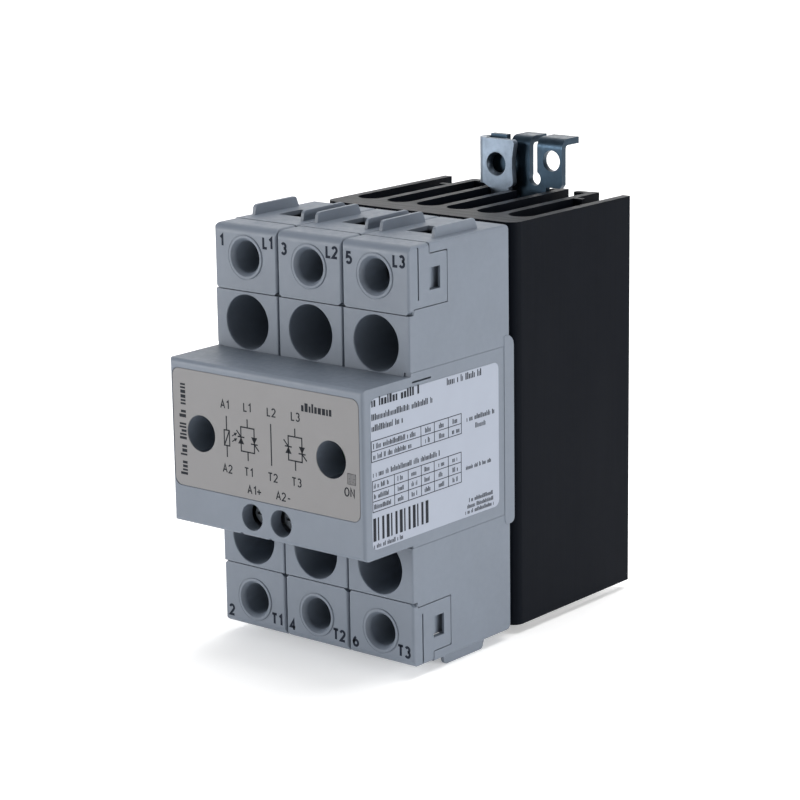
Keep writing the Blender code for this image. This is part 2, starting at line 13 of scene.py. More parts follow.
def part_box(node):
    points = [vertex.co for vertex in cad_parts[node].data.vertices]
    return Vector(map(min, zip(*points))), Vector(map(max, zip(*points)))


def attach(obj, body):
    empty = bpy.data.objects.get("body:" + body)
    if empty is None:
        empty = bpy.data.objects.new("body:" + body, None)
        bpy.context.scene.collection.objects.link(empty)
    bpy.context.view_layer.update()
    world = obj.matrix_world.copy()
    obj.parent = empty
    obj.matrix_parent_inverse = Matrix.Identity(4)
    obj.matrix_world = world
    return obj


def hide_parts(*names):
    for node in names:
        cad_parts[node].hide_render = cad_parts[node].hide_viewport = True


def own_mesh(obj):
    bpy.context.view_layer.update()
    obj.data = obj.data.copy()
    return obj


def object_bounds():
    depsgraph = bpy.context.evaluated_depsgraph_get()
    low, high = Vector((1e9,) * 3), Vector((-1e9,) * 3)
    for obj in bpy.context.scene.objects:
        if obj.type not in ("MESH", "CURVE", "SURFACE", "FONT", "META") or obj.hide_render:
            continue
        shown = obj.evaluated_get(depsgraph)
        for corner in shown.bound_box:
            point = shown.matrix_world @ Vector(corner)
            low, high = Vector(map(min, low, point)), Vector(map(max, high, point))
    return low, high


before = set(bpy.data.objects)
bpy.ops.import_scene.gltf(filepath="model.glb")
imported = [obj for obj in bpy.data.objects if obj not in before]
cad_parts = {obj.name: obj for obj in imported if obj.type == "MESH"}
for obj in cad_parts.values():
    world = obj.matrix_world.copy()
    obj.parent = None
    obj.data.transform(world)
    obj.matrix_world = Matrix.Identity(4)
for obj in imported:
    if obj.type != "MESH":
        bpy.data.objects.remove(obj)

CAD_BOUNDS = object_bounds()
MM = 0.001
UPPER, LOWER = 1, -1
TERMINALS = (("l1", 1, UPPER), ("l2", 2, UPPER), ("l3", 3, UPPER),
             ("t1", 1, LOWER), ("t2", 2, LOWER), ("t3", 3, LOWER))
FRONT_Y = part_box("pole_housing_2")[0][1]


def cad(node):
    """A CAD node's (low, high) pairs along x, y and z, in device millimetres."""
    low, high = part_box(node)
    return ((low[0] / MM, high[0] / MM), ((low[1] - FRONT_Y) / MM, (high[1] - FRONT_Y) / MM),
            (low[2] / MM, high[2] / MM))


def middle(pair):
    return (pair[0] + pair[1]) / 2


# ------------------------------------------------------------------ shape helpers

AXES = {"x": lambda u, v, w: (w, u, v),
        "y": lambda u, v, w: (u, w, v),
        "z": lambda u, v, w: (u, v, w)}
TO_WORLD = Matrix.Translation((0, FRONT_Y, 0)) @ Matrix.Scale(MM, 4)


def link(name, data):
    obj = bpy.data.objects.new(name, data)
    bpy.context.scene.collection.objects.link(obj)
    return obj


def place(bm, name="tool"):
    """Turn a bmesh drawn in device millimetres into an object in world metres."""
    bmesh.ops.recalc_face_normals(bm, faces=bm.faces)
    bm.transform(TO_WORLD)
    mesh = bpy.data.meshes.new(name)
    bm.to_mesh(mesh)
    bm.free()
    return link(name, mesh)


def block(x, y, z):
    x, y, z = sorted(x), sorted(y), sorted(z)
    bm = bmesh.new()
    bmesh.ops.create_cube(bm, size=1.0)
    for vert in bm.verts:
        vert.co = [pair[0] if share < 0 else pair[1] for pair, share in zip((x, y, z), vert.co)]
    return place(bm)


def prism(outline, axis, low, high):
    """Extrude a flat outline along an axis; its two numbers are the other two axes in order."""
    to_space = AXES[axis]
    bm = bmesh.new()
    face = bm.faces.new([bm.verts.new(to_space(u, v, low)) for u, v in outline])
    grown = bmesh.ops.extrude_face_region(bm, geom=[face])
    moved = [item for item in grown["geom"] if isinstance(item, bmesh.types.BMVert)]
    bmesh.ops.translate(bm, vec=Vector(to_space(0, 0, high - low)), verts=moved)
    return place(bm)


def turned(u, v, profile, segments=48, axis="y"):
    """Revolve (distance along the axis, radius) points about the line at the other two places."""
    to_space = AXES[axis]
    bm = bmesh.new()
    angles = [2 * math.pi * step / segments for step in range(segments)]
    rings = [[bm.verts.new(to_space(u + radius * math.cos(a), v + radius * math.sin(a), along))
              for a in angles] for along, radius in profile]
    for low, high in zip(rings, rings[1:]):
        for step in range(segments):
            following = (step + 1) % segments
            bm.faces.new((low[step], low[following], high[following], high[step]))
    bm.faces.new(rings[0])
    bm.faces.new(rings[-1])
    return place(bm)


def rod(x, z, radius, low, high, segments=48):
    return turned(x, z, [(low, radius), (high, radius)], segments)


def evaluated_mesh(obj):
    graph = bpy.context.evaluated_depsgraph_get()
    return bpy.data.meshes.new_from_object(obj.evaluated_get(graph), depsgraph=graph)


def bake(obj):
    """Apply an object's modifiers."""
    mesh, old = evaluated_mesh(obj), obj.data
    obj.modifiers.clear()
    obj.data = mesh
    bpy.data.meshes.remove(old)
    return obj


def boolean(target, operation, tools):
    """Apply the tools to the target and remove them."""
    for tool in tools:
        step = target.modifiers.new("step", "BOOLEAN")
        step.operation = operation
        step.object = tool
    bake(target)
    for tool in tools:
        bpy.data.objects.remove(tool, do_unlink=True)


def cut(target, *tools):
    boolean(target, "DIFFERENCE", tools)


def add(target, *tools):
    boolean(target, "UNION", tools)


def common(target, *tools):
    boolean(target, "INTERSECT", tools)


def arc(cx, cy, radius, start, stop, steps, tall=1.0):
    """Points on an arc, angles in degrees; tall stretches it to an ellipse."""
    angles = [math.radians(start + (stop - start) * i / steps) for i in range(steps + 1)]
    return [(cx + radius * math.cos(a), cy + radius * tall * math.sin(a)) for a in angles]


def rounded(u, v, radii, steps=6):
    """A rectangle's outline; radii go round from the (low, low) corner: right, up, left."""
    corners = ((u[0], v[0], 1, 1, 180), (u[1], v[0], -1, 1, 270), (u[1], v[1], -1, -1, 0),
               (u[0], v[1], 1, -1, 90))
    outline = []
    for (cu, cv, du, dv, start), radius in zip(corners, radii):
        if radius:
            outline += arc(cu + du * radius, cv + dv * radius, radius, start, start + 90, steps)
        else:
            outline.append((cu, cv))
    return outline


def grown(pair, amount):
    return pair[0] - amount, pair[1] + amount


def about(centre, half):
    return centre - half, centre + half


def rows(low, high, row):
    """A height range of the upper row, or its mirror image in the lower row."""
    return sorted((low * row, high * row))


def flip(outline, row):
    """An outline of the upper row, or its mirror image in the lower row."""
    return [(u, height * row) for u, height in outline]


SMOOTH_ANGLE = 32


def round_edges(obj, width, segments=2, angle=SMOOTH_ANGLE):
    """Round an object's sharp edges, before fine details are cut into it."""
    bevel = obj.modifiers.new("edges", "BEVEL")
    bevel.width = width * MM
    bevel.segments = segments
    bevel.limit_method = "ANGLE"
    bevel.angle_limit = math.radians(angle)
    bevel.miter_outer = "MITER_ARC"
    return bake(obj)


def shade(obj, angle=SMOOTH_ANGLE):
    """Smooth shading up to an angle, with normals that follow the larger faces."""
    obj.data.shade_smooth()
    obj.data.set_sharp_from_angle(angle=math.radians(angle))
    weights = obj.modifiers.new("normals", "WEIGHTED_NORMAL")
    weights.keep_sharp = True


def soften(obj, width, segments=2):
    shade(round_edges(obj, width, segments))


# ------------------------------------------------------------------ materials

def scaled(colour, factor):
    return tuple(channel * factor for channel in colour)


class Shader:
    """A Principled material and short ways to add nodes to it."""

    def __init__(self, name, colour, roughness, metallic=0.0, specular=0.5):
        self.material = bpy.data.materials.new(name)
        self.material.use_nodes = True
        self.nodes = self.material.node_tree.nodes
        self.links = self.material.node_tree.links
        self.surface = self.nodes["Principled BSDF"]
        self.surface.inputs["Base Color"].default_value = (*colour, 1)
        self.surface.inputs["Roughness"].default_value = roughness
        self.surface.inputs["Metallic"].default_value = metallic
        self.surface.inputs["Specular IOR Level"].default_value = specular
        self.place = self.nodes.new("ShaderNodeTexCoord").outputs["Object"]
        self.relief = None

    def stretch(self, scale):
        mapping = self.nodes.new("ShaderNodeMapping")
        mapping.inputs["Scale"].default_value = scale
        self.links.new(self.place, mapping.inputs["Vector"])
        return mapping.outputs["Vector"]

    def noise(self, scale, detail=3.0, roughness=0.55, stretch=(1, 1, 1)):
        node = self.nodes.new("ShaderNodeTexNoise")
        node.inputs["Scale"].default_value = scale
        node.inputs["Detail"].default_value = detail
        node.inputs["Roughness"].default_value = roughness
        self.links.new(self.stretch(stretch), node.inputs["Vector"])
        return node.outputs["Fac"]

    def spread(self, value, low, high, from_low=0.3, from_high=0.7):
        node = self.nodes.new("ShaderNodeMapRange")
        node.inputs["From Min"].default_value = from_low
        node.inputs["From Max"].default_value = from_high
        node.inputs["To Min"].default_value = low
        node.inputs["To Max"].default_value = high
        self.links.new(value, node.inputs["Value"])
        return node.outputs["Result"]

    def tint(self, value, colour, darker, lighter):
        """Vary the base colour between two multiples of a colour."""
        node = self.nodes.new("ShaderNodeMix")
        node.data_type = "RGBA"
        node.inputs["A"].default_value = (*scaled(colour, darker), 1)
        node.inputs["B"].default_value = (*scaled(colour, lighter), 1)
        self.links.new(self.spread(value, 0, 1), node.inputs["Factor"])
        self.links.new(node.outputs["Result"], self.surface.inputs["Base Color"])

    def dull_rear(self, tone, near, far):
        """Painted shade: multiply the base colour by a dark tone, fading in between two depths in
        device millimetres.
        """
        split = self.nodes.new("ShaderNodeSeparateXYZ")
        self.links.new(self.place, split.inputs["Vector"])
        share = self.spread(split.outputs["Y"], 0.0, 1.0, near * MM + FRONT_Y, far * MM + FRONT_Y)
        node = self.nodes.new("ShaderNodeMix")
        node.data_type = "RGBA"
        node.blend_type = "MULTIPLY"
        node.inputs["B"].default_value = (*tone, 1)
        self.links.new(share, node.inputs["Factor"])
        self.links.new(self.surface.inputs["Base Color"].links[0].from_socket, node.inputs["A"])
        self.links.new(node.outputs["Result"], self.surface.inputs["Base Color"])

    def gloss(self, value, low, high):
        self.links.new(self.spread(value, low, high), self.surface.inputs["Roughness"])

    def bump(self, value, strength, distance):
        node = self.nodes.new("ShaderNodeBump")
        node.inputs["Strength"].default_value = strength
        node.inputs["Distance"].default_value = distance * MM
        self.links.new(value, node.inputs["Height"])
        if self.relief:
            self.links.new(self.relief, node.inputs["Normal"])
        self.relief = node.outputs["Normal"]
        self.links.new(self.relief, self.surface.inputs["Normal"])


def moulded_plastic(name, colour, roughness=0.5):
    """Spark-eroded moulded plastic: a fine grain and faint flow clouds."""
    made = Shader(name, colour, roughness)
    clouds = made.noise(90, 4)
    made.tint(clouds, colour, 0.96, 1.04)
    grain = made.noise(4200, 2, 0.6)
    made.bump(grain, 0.35, 0.02)
    made.bump(clouds, 0.1, 0.15)
    made.gloss(made.noise(700, 3), roughness - 0.05, roughness + 0.07)
    return made.material


def printed_foil(name, colour, roughness=0.42):
    """Printed polyester label: nearly flat, with the ghost of the face below."""
    made = Shader(name, colour, roughness)
    ripple = made.noise(160, 3)
    made.tint(ripple, colour, 0.985, 1.015)
    made.bump(ripple, 0.12, 0.1)
    made.bump(made.noise(5200, 2), 0.12, 0.01)
    made.gloss(made.noise(420, 2), roughness - 0.03, roughness + 0.04)
    return made.material


def anodised(name, colour, roughness=0.45):
    """Black anodised aluminium with the fine die lines of the extrusion along its length."""
    made = Shader(name, colour, roughness, 0.0, 0.035)
    lines = made.noise(2600, 4, 0.6, (1, 1, 0.012))
    made.tint(lines, colour, 0.86, 1.14)
    made.bump(lines, 0.3, 0.03)
    patches = made.noise(60, 3, 0.5, (1, 1, 0.3))
    made.gloss(patches, roughness - 0.05, roughness + 0.06)
    return made.material


def sawn(name, colour):
    """Sawn and anodised end of the extrusion: straight saw marks across the fins."""
    made = Shader(name, colour, 0.5, 0.05, 0.08)
    marks = made.noise(1700, 4, 0.65, (0.03, 1, 1))
    made.tint(marks, colour, 0.8, 1.2)
    made.bump(marks, 0.45, 0.04)
    made.gloss(marks, 0.36, 0.55)
    return made.material


CLIP_FRONT, CLIP_THICK = 75.0, 1.5          # the rail clip's main plate
TAB_FRONT = 72.0                            # its earth tab stands in front of the plate


def zinc(name, colour, roughness, metallic, rear_shade_tone=None):
    """Blue-passivated zinc plate: soft mottling over rolled sheet, with painted shade at the rear if
    asked.
    """
    made = Shader(name, colour, roughness, metallic)
    mottle = made.noise(420, 5, 0.6)
    made.tint(mottle, colour, 0.82, 1.1)
    if rear_shade_tone:
        # painted shade on the main plate behind the earth tab, fading in from the tab's rear to the
        # plate's front
        made.dull_rear(rear_shade_tone, TAB_FRONT + 1.7, CLIP_FRONT - 0.1)
    made.bump(made.noise(1500, 3), 0.25, 0.03)
    made.gloss(made.noise(900, 4), roughness - 0.08, roughness + 0.12)
    return made.material


def rolled_metal(name, colour, roughness=0.35, along=(1, 1, 0.05)):
    """Bare rolled or drawn metal with a grain along one direction."""
    made = Shader(name, colour, roughness, 1.0)
    grain = made.noise(1900, 4, 0.6, along)
    made.tint(grain, colour, 0.88, 1.08)
    made.bump(grain, 0.25, 0.02)
    made.gloss(made.noise(500, 3), roughness - 0.06, roughness + 0.1)
    return made.material


def speckled(name, colour, roughness, scale=1500, strength=0.3, specular=0.5):
    """Plain moulded or cast inner pieces with a fine speckle."""
    made = Shader(name, colour, roughness, 0.0, specular)
    specks = made.noise(scale, 4, 0.65)
    made.tint(specks, colour, 0.85, 1.15)
    made.bump(specks, strength, 0.03)
    made.gloss(specks, roughness - 0.06, roughness + 0.08)
    return made.material


PLASTIC = (0.127, 0.151, 0.188)
HOUSING_PLASTIC = moulded_plastic("grey_housing_plastic", PLASTIC)
COVER_PLASTIC = moulded_plastic("grey_cover_plastic", PLASTIC)
SINK_BLACK = anodised("black_anodised", (0.0030, 0.0042, 0.0070))
SINK_END = sawn("sawn_end", (0.0150, 0.0165, 0.0195))
# the rail clip's zinc; its last tone is painted shade on the main plate behind the earth tab
CLIP_ZINC_AND_SHADE = zinc("clip_zinc_and_painted_shade", (0.145, 0.180, 0.225), 0.36, 0.85, (0.18, 0.26, 0.31))
SCREW_ZINC = zinc("screw_zinc", (0.15, 0.17, 0.19), 0.5, 0.6)
FRONT_FOIL = printed_foil("front_foil", (0.166, 0.164, 0.168))
SIDE_FOIL = printed_foil("side_foil", (0.268, 0.298, 0.360))
INK = speckled("print_ink", (0.008, 0.012, 0.022), 0.6, 3000, 0.1, 0.1)
PALE_INK = speckled("pale_print_ink", (0.013, 0.015, 0.020), 0.6, 3000, 0.1, 0.12)
LIGHT_PIPE = speckled("light_pipe", (0.085, 0.085, 0.09), 0.3, 2200, 0.15)
COPPER = rolled_metal("tinned_copper", (0.62, 0.56, 0.50))
BRASS = rolled_metal("brass", (0.62, 0.47, 0.22))
ALUMINIUM = rolled_metal("milled_aluminium", (0.55, 0.55, 0.56), 0.4, (1, 1, 0.03))
SPRING_WIRE = rolled_metal("spring_wire", (0.42, 0.43, 0.45), 0.3, (1, 1, 1))
BOARD = speckled("solder_mask", (0.02, 0.13, 0.05), 0.35, 900, 0.2)
EPOXY = speckled("black_epoxy", (0.015, 0.015, 0.016), 0.5, 2400)
ALUMINA = speckled("white_alumina", (0.72, 0.72, 0.69), 0.6, 1800)
PAD_GREY = speckled("thermal_pad_grey", (0.27, 0.27, 0.29), 0.8, 1200)
LENS = speckled("led_lens", (0.05, 0.28, 0.08), 0.2, 800, 0.05)


def finish(obj, name, material, body, stands_for=()):
    """Name a piece, dress it, and tie it to its body and the CAD nodes that it replaces."""
    obj.name = name
    obj.data.name = name
    if not any(obj.data.materials):
        obj.data.materials.clear()
        obj.data.materials.append(material)
    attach(obj, body)
    if stands_for:
        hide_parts(*stands_for)


# ------------------------------------------------------------------ heat sink

SINK_X, SINK_Y, SINK_Z = cad("heat_sink")
FIN_PITCH, FIN_THICK = 8.53, 2.1
SLOT_FRONT = 43.2
SEAT_Y = -FRONT_Y / MM                      # the rail seat is at the frame's origin
CLIP_WAY_HALF = 1.6                         # half width of the way for the clip in the centre fin
HOOK_ROOM_LOW, CLIP_ROOM_LOW = 16.1, 19.3   # lower ends of the room for the hook and the plate
PIN_Y, PIN_Z = 73.2, 38.0                   # stop pin of the clip's spring


def seat(node):
    """Where a node's middle stands across the front: (x, z)."""
    x, _, z = cad(node)
    return middle(x), middle(z)


SCREW_PLACES = [seat(f"heat_sink_screw_{label}") for label, _, _ in TERMINALS]


def heat_sink():
    """The extrusion: thick base, seven fins with guide claws, fixed rail lips, clip and screw room."""
    sink = prism(rounded(SINK_X, (SINK_Y[0], SEAT_Y), (2.6, 2.6, 0.3, 0.3), 8), "z", *SINK_Z)
    slot_half = (FIN_PITCH - FIN_THICK) / 2
    slots = []
    for number in range(6):
        x = (number - 2.5) * FIN_PITCH
        # each slot narrows a little towards its round root, as an extruded fin thickens there
        outline = arc(x, SLOT_FRONT + slot_half, slot_half, 180, 360, 16)
        outline += [(x + slot_half + 0.05, SEAT_Y + 5), (x - slot_half - 0.05, SEAT_Y + 5)]
        slots.append(prism(outline, "z", *grown(SINK_Z, 1)))
    cut(sink, *slots)
    for side in (-1, 1):
        add(sink, block((side * 12.6, side * 16.6), (77.4, 79.2), SINK_Z),
            block((side * 17.6, side * 20.4), (69.6, 71.0), SINK_Z),
            block((side * 5.9, side * 8.3), (77.3, 78.6), SINK_Z))
    lip = [(SEAT_Y - 0.6, -21.5), (81.9, -21.5), (82.4, -21.0), (82.4, -16.6), (82.1, -16.3),
           (81.0, -16.3), (81.0, -18.6), (SEAT_Y - 0.6, -18.6)]
    add(sink, *[prism(lip, "x", *about(fin * FIN_PITCH, FIN_THICK / 2)) for fin in (-2, -1, 1, 2)])
    clip_way = about(0, CLIP_WAY_HALF)
    cut(sink, block(clip_way, (71.3, 90), (CLIP_ROOM_LOW, 50)),
        block((-7.4, 7.4), (77.0, 90), (HOOK_ROOM_LOW, 26.5)),
        block(clip_way, (SEAT_Y - 0.4, 90), (HOOK_ROOM_LOW, CLIP_ROOM_LOW + 0.1)),
        turned(PIN_Y, PIN_Z, [(-12, 1.5), (12, 1.5)], 32, "x"))
    cut(sink, *[rod(x, z, 2.4, 34, 42.2, 32) for x, z in SCREW_PLACES])
    soften(sink, 0.16)
    sink.data.materials.append(SINK_BLACK)
    sink.data.materials.append(SINK_END)
    for face in sink.data.polygons:
        to_end = min(abs(face.center.z - z * MM) for z in SINK_Z)
        face.material_index = 1 if abs(face.normal.z) > 0.9 and to_end < 0.4 * MM else 0
    finish(sink, "heat_sink_extrusion", SINK_BLACK, "relay", ["heat_sink"])


# ------------------------------------------------------------------ pole housings

BODY_TOP, BODY_DEPTH = 45.2, 33.6
MODULE_ROOM_Z = (-16.5, 16.5)               # the hollow that runs from the module into the poles
WELL_Z = abs(SCREW_PLACES[0][1])
TERMINAL_Z = seat("terminal_screw_l1")[1]
CHAMBER_HALF = 6.9                          # half width of the terminal chambers and the rear hollow
COVER_ROOM = [(-5, 30.72), (1.35, 30.72), (1.65, 31.82), (12.7, 31.82), (12.7, 43.0), (6.8, 43.0),
              (6.8, 60), (-5, 60)]


def pole_x(pole):
    """The middle of a pole, where its terminals stand."""
    return seat(f"terminal_screw_l{pole}")[0]


def pole_span(pole):
    return cad(f"terminal_cover_l{pole}")[0]


WINGS = ((-7.95, -7.1), (6.05, 6.85))       # thin guide plates beside the wire mouths


def wire_end(housing, pole, row):
    """Wire funnel, terminal chamber, cover seat, wings and latch tongues of one end."""
    x = pole_x(pole)
    low, high = pole_span(pole)
    cut(housing, prism(flip(COVER_ROOM, row), "x", low - 1, high + 1),
        block(about(x, CHAMBER_HALF), (8.4, 27), rows(32.8, 44.2, row)),
        block(about(x, 4.1), (26, 29), rows(32.8, 34.6, row)))
    wing = [(11.0, 44.6), (11.4, 46.7), (11.7, 47.2), (12.3, 47.45), (24.3, 47.5), (24.8, 47.2),
            (25.9, 44.6)]
    add(housing, *[prism(flip(wing, row), "x", x + row * near, x + row * far) for near, far in WINGS])
    funnel = [(14.3, 46.2), (15.2, 44.7), (15.2, 40), (22.1, 40), (22.1, 44.7), (22.8, 46.2)]
    cut(housing, prism(flip(funnel, row), "x", *about(x, 3.7)))
    notch = [(x - 1.2, 27.2), (x + 1.2, 27.2), (x, 25.2)]
    cut(housing, prism(notch, "z", *rows(44.7, 46.5, row)))
    tongues = []
    for side in (-1, 1):
        tongues.append(block((x + side * 6.2, x + side * 7.35), (7.0, 13.5), rows(35, 40, row)))
        tongues.append(block((x + side * 7.2, x + side * 8.1), (7.0, 8.4), rows(35.5, 39.6, row)))
    add(housing, *tongues)


def pole_housing(pole):
    """One pole with its two wells; an outer pole is recessed for the module and has a skirt."""
    low, high = pole_span(pole)
    x = pole_x(pole)
    height = (-BODY_TOP, BODY_TOP)
    housing = prism(rounded((low, high), (0, BODY_DEPTH), (0.35, 0.35, 0, 0)), "z", *height)
    side_view = rounded((0, BODY_DEPTH), height, (0, 1.4, 1.4, 0))
    end_view = rounded((low, high), height, (0.5, 0.5, 0.5, 0.5), 3)
    common(housing, prism(side_view, "x", low - 1, high + 1), prism(end_view, "y", -1, BODY_DEPTH + 1))
    cut(housing, block(about(x, CHAMBER_HALF), (28.5, 40), (-43, 43)),
        block(about(x, 5.9), (1.6, 40), MODULE_ROOM_Z))
    for row in (UPPER, LOWER):
        wire_end(housing, pole, row)
    if pole != 2:
        side = -1 if pole == 1 else 1
        cut(housing, block((side * 25.3, side * 28), (-1, 31.75), (-18.66, 18.86)))
        skirt = rounded((31.8, 35.2), (-20.9, 21.1), (1.2, 1.2, 2.4, 0.2), 4)
        add(housing, prism(skirt, "x", side * 25.8, side * 27.12))
    round_edges(housing, 0.13)
    for row in (UPPER, LOWER):
        # a sleeve round the screw's shank, then the well in front of it with a rounded rim
        add(housing, rod(x, WELL_Z * row, 3.7, 28.2, BODY_DEPTH - 0.1))
        well = [(-1, 6.25), (0.0, 6.12), (0.1, 6.03), (0.35, 5.95), (6, 5.9), (24, 5.8)]
        cut(housing, turned(x, WELL_Z * row, well, 72), rod(x, WELL_Z * row, 2.6, 23, 35))
    shade(housing)
    finish(housing, f"pole_housing_shell_{pole}", HOUSING_PLASTIC, "relay", [f"pole_housing_{pole}"])


# ------------------------------------------------------------------ terminal covers

COVER_TOP = 45.1


def corner_chamfers(pole, row):
    """Tools that cut off the two front corners of a cover next to its seam."""
    low, high = pole_span(pole)
    tools = []
    for x, inward in ((low, 1), (high, -1)):
        outline = [(x - inward * 0.5, 30.5), (x + inward * 1.4, 30.5), (x - inward * 0.5, 32.1)]
        tools.append(prism(flip(outline, row), "y", -1, 1.1))
    return tools


def latch_windows(x, row):
    """Windows in a cover's two sides, each with a groove behind it for the housing's tongue."""
    tools = []
    for side in (-1, 1):
        window = rows(35.2, 39.9, row)
        tools += [block((x + side * 7.3, x + side * 9.5), (6.7, 10.2), window),
                  block((x + side * 7.3, x + side * 8.4), (10, 13), window)]
    return tools


def terminal_cover(label, pole, row):
    """A clip-on cover: hollow block with latch windows, a collared driver hole and side slits."""
    low, high = pole_span(pole)
    x = pole_x(pole)
    outline = [(0, 30.92), (1.25, 30.92), (1.55, 32.0), (12.5, 32.0), (12.5, 42.3)]
    outline += arc(12.0, 42.3, 0.5, 0, 90, 4) + [(6.9, 42.8), (6.6, 43.1), (6.6, COVER_TOP)]
    outline += arc(2.0, COVER_TOP - 2.0, 2.0, 90, 180, 10)
    cover = prism(flip(outline, row), "x", low, high)
    plan = rounded((low, high), (0, 14), (0.6, 0.6, 0, 0), 5)
    front_view = rounded((low, high), (-COVER_TOP, COVER_TOP), (0.9,) * 4, 5)
    common(cover, prism(plan, "z", -60, 60), prism(front_view, "y", -1, 14))
    hollow = [(1.6, 33.5), (13, 33.5), (13, 42.05), (5.2, 42.05), (5.2, 43.7), (1.6, 43.7)]
    cut(cover, prism(flip(hollow, row), "x", low + 1.2, high - 1.2))
    cut(cover, *latch_windows(x, row), *corner_chamfers(pole, row))
    round_edges(cover, 0.1)
    height = TERMINAL_Z * row
    add(cover, rod(x, height, 4.7, 0.8, 7.6, 72))
    cut(cover, rod(x, height, 5.0, -1, 0.06, 72))
    collar = [(0.5, 4.8), (-0.05, 4.78), (-0.15, 4.7), (-0.2, 4.58)]
    add(cover, turned(x, height, collar, 72))
    bore = [(-1, 4.5), (-0.2, 4.2), (0.0, 4.0), (0.25, 3.78), (0.6, 3.56), (1.1, 3.42), (9, 3.36)]
    cut(cover, turned(x, height, bore, 72))
    cut(cover, *[block((x + side * 8.4, x + side * 9.5), (2.85, 3.25), rows(33.6, 44.6, row))
                 for side in (-1, 1)])
    shade(cover)
    finish(cover, f"cover_shell_{label}", COVER_PLASTIC, f"cover_{label}", [f"terminal_cover_{label}"])


# ------------------------------------------------------------------ control module

MODULE_X, MODULE_Y, _ = cad("control_cover")
MODULE_FRONT = MODULE_Y[0]
MODULE_HALF = 18.05
ACCESS = [seat(f"module_screw_{side}") for side in ("left", "right")]
CONTROL = [seat(f"control_screw_{label}") for label in ("a1", "a2")]
CONTROL_HEAD = cad("control_screw_a1")[1][0]
LED_X, LED_Z = seat("status_led")
LED_WINDOW = (about(LED_X, 1.12), about(LED_Z, 1.17))
MODULE_INSIDE = (-25.5, 25.5)
CHEEK_REAR, CHEEK_Z = 31.7, (-18.6, 18.8)
ACCESS_RADIUS, ACCESS_TUBE, CONTROL_TUBE = 4.0, 4.6, 3.5
LABEL_X, _, LABEL_Z = cad("front_label")
_, RATING_Y, RATING_Z = cad("side_label")


def access_tools(front, rear, notch=True):
    """Round driver holes, each with a small notch below if asked."""
    tools = []
    for x, z in ACCESS:
        tools.append(rod(x, z, ACCESS_RADIUS, front, rear, 64))
        if notch:
            below = rounded(about(x, 0.7), (z - 4.4, z), (0.35, 0.35, 0, 0), 4)
            tools.append(prism(below, "y", front, rear))
    return tools


def control_module():
    """The module's cover: a box in front of the poles with two cheeks that reach back along them."""
    front, half = MODULE_FRONT, MODULE_HALF
    profile = rounded((front, 0), (-half, half), (1.1, 0, 0, 1.1), 8)
    cover = prism(profile, "x", *MODULE_X)
    plan = rounded(MODULE_X, (front, 3), (0.9, 0.9, 0, 0), 6)
    common(cover, prism(plan, "z", -30, 30))
    walls = []
    for inner, outer in zip(MODULE_INSIDE, MODULE_X):
        walls += [block((inner, outer), (-1, CHEEK_REAR), (-half, half)),
                  block((inner, outer), (0.3, CHEEK_REAR), CHEEK_Z)]
    add(cover, *walls)
    cut(cover, block(MODULE_INSIDE, (front + 1.7, 5), MODULE_ROOM_Z),
        block(MODULE_INSIDE, (-0.3, 5), (-25, 25)))
    tubes = [rod(x, z, ACCESS_TUBE, front + 1, -7.0, 64) for x, z in ACCESS]
    tubes += [rod(x, z, CONTROL_TUBE, front + 1, CONTROL_HEAD - 0.35, 48) for x, z in CONTROL]
    add(cover, *tubes)
    round_edges(cover, 0.12)
    recess = rounded(grown(LABEL_X, 0.14), grown(LABEL_Z, 0.14), (1.9,) * 4, 8)
    rating = rounded(grown(RATING_Y, 0.04), grown(RATING_Z, 0.04), (1.7,) * 4, 8)
    cut(cover, prism(recess, "y", front - 1, front + 0.22),
        prism(rating, "x", MODULE_X[1] - 0.1, MODULE_X[1] + 1),
        block((24, 28), (0.6, 6.8), (16.65, 17.05)),
        block(LED_WINDOW[0], (front - 1, -12), LED_WINDOW[1]))
    cut(cover, *access_tools(front - 1, -5))
    holes = [turned(x, z, [(front - 1, 3.0), (front, 2.95), (front + 0.25, 2.8), (-5, 2.75)], 56)
             for x, z in CONTROL]
    entries = [block(about(x, 2.0), (-5.9, -1.3), (-20, -16)) for x, _ in CONTROL]
    nicks = [block((x - 3.75, x - 2.9), (front - 1, front + 1.3), (-20, -17.45)) for x, _ in CONTROL]
    cut(cover, *holes, *entries, *nicks)
    shade(cover)
    finish(cover, "control_cover_shell", HOUSING_PLASTIC, "relay", ["control_cover"])


def label_plates():
    """The two foils: the front one with its holes, the side one plain."""
    front = MODULE_FRONT
    plate = prism(rounded(LABEL_X, LABEL_Z, (1.8,) * 4, 8), "y", front + 0.02, front + 0.17)
    cut(plate, *access_tools(front - 1, front + 1, notch=False))
    cut(plate, block(LED_WINDOW[0], (front - 1, front + 1), LED_WINDOW[1]))
    soften(plate, 0.04, 1)
    finish(plate, "front_label_foil", FRONT_FOIL, "relay", ["front_label"])
    side = MODULE_X[1]
    foil = prism(rounded(RATING_Y, RATING_Z, (1.6,) * 4, 8), "x", side - 0.06, side + 0.04)
    soften(foil, 0.02, 1)
    finish(foil, "side_label_foil", SIDE_FOIL, "relay", ["side_label"])


# ------------------------------------------------------------------ printing

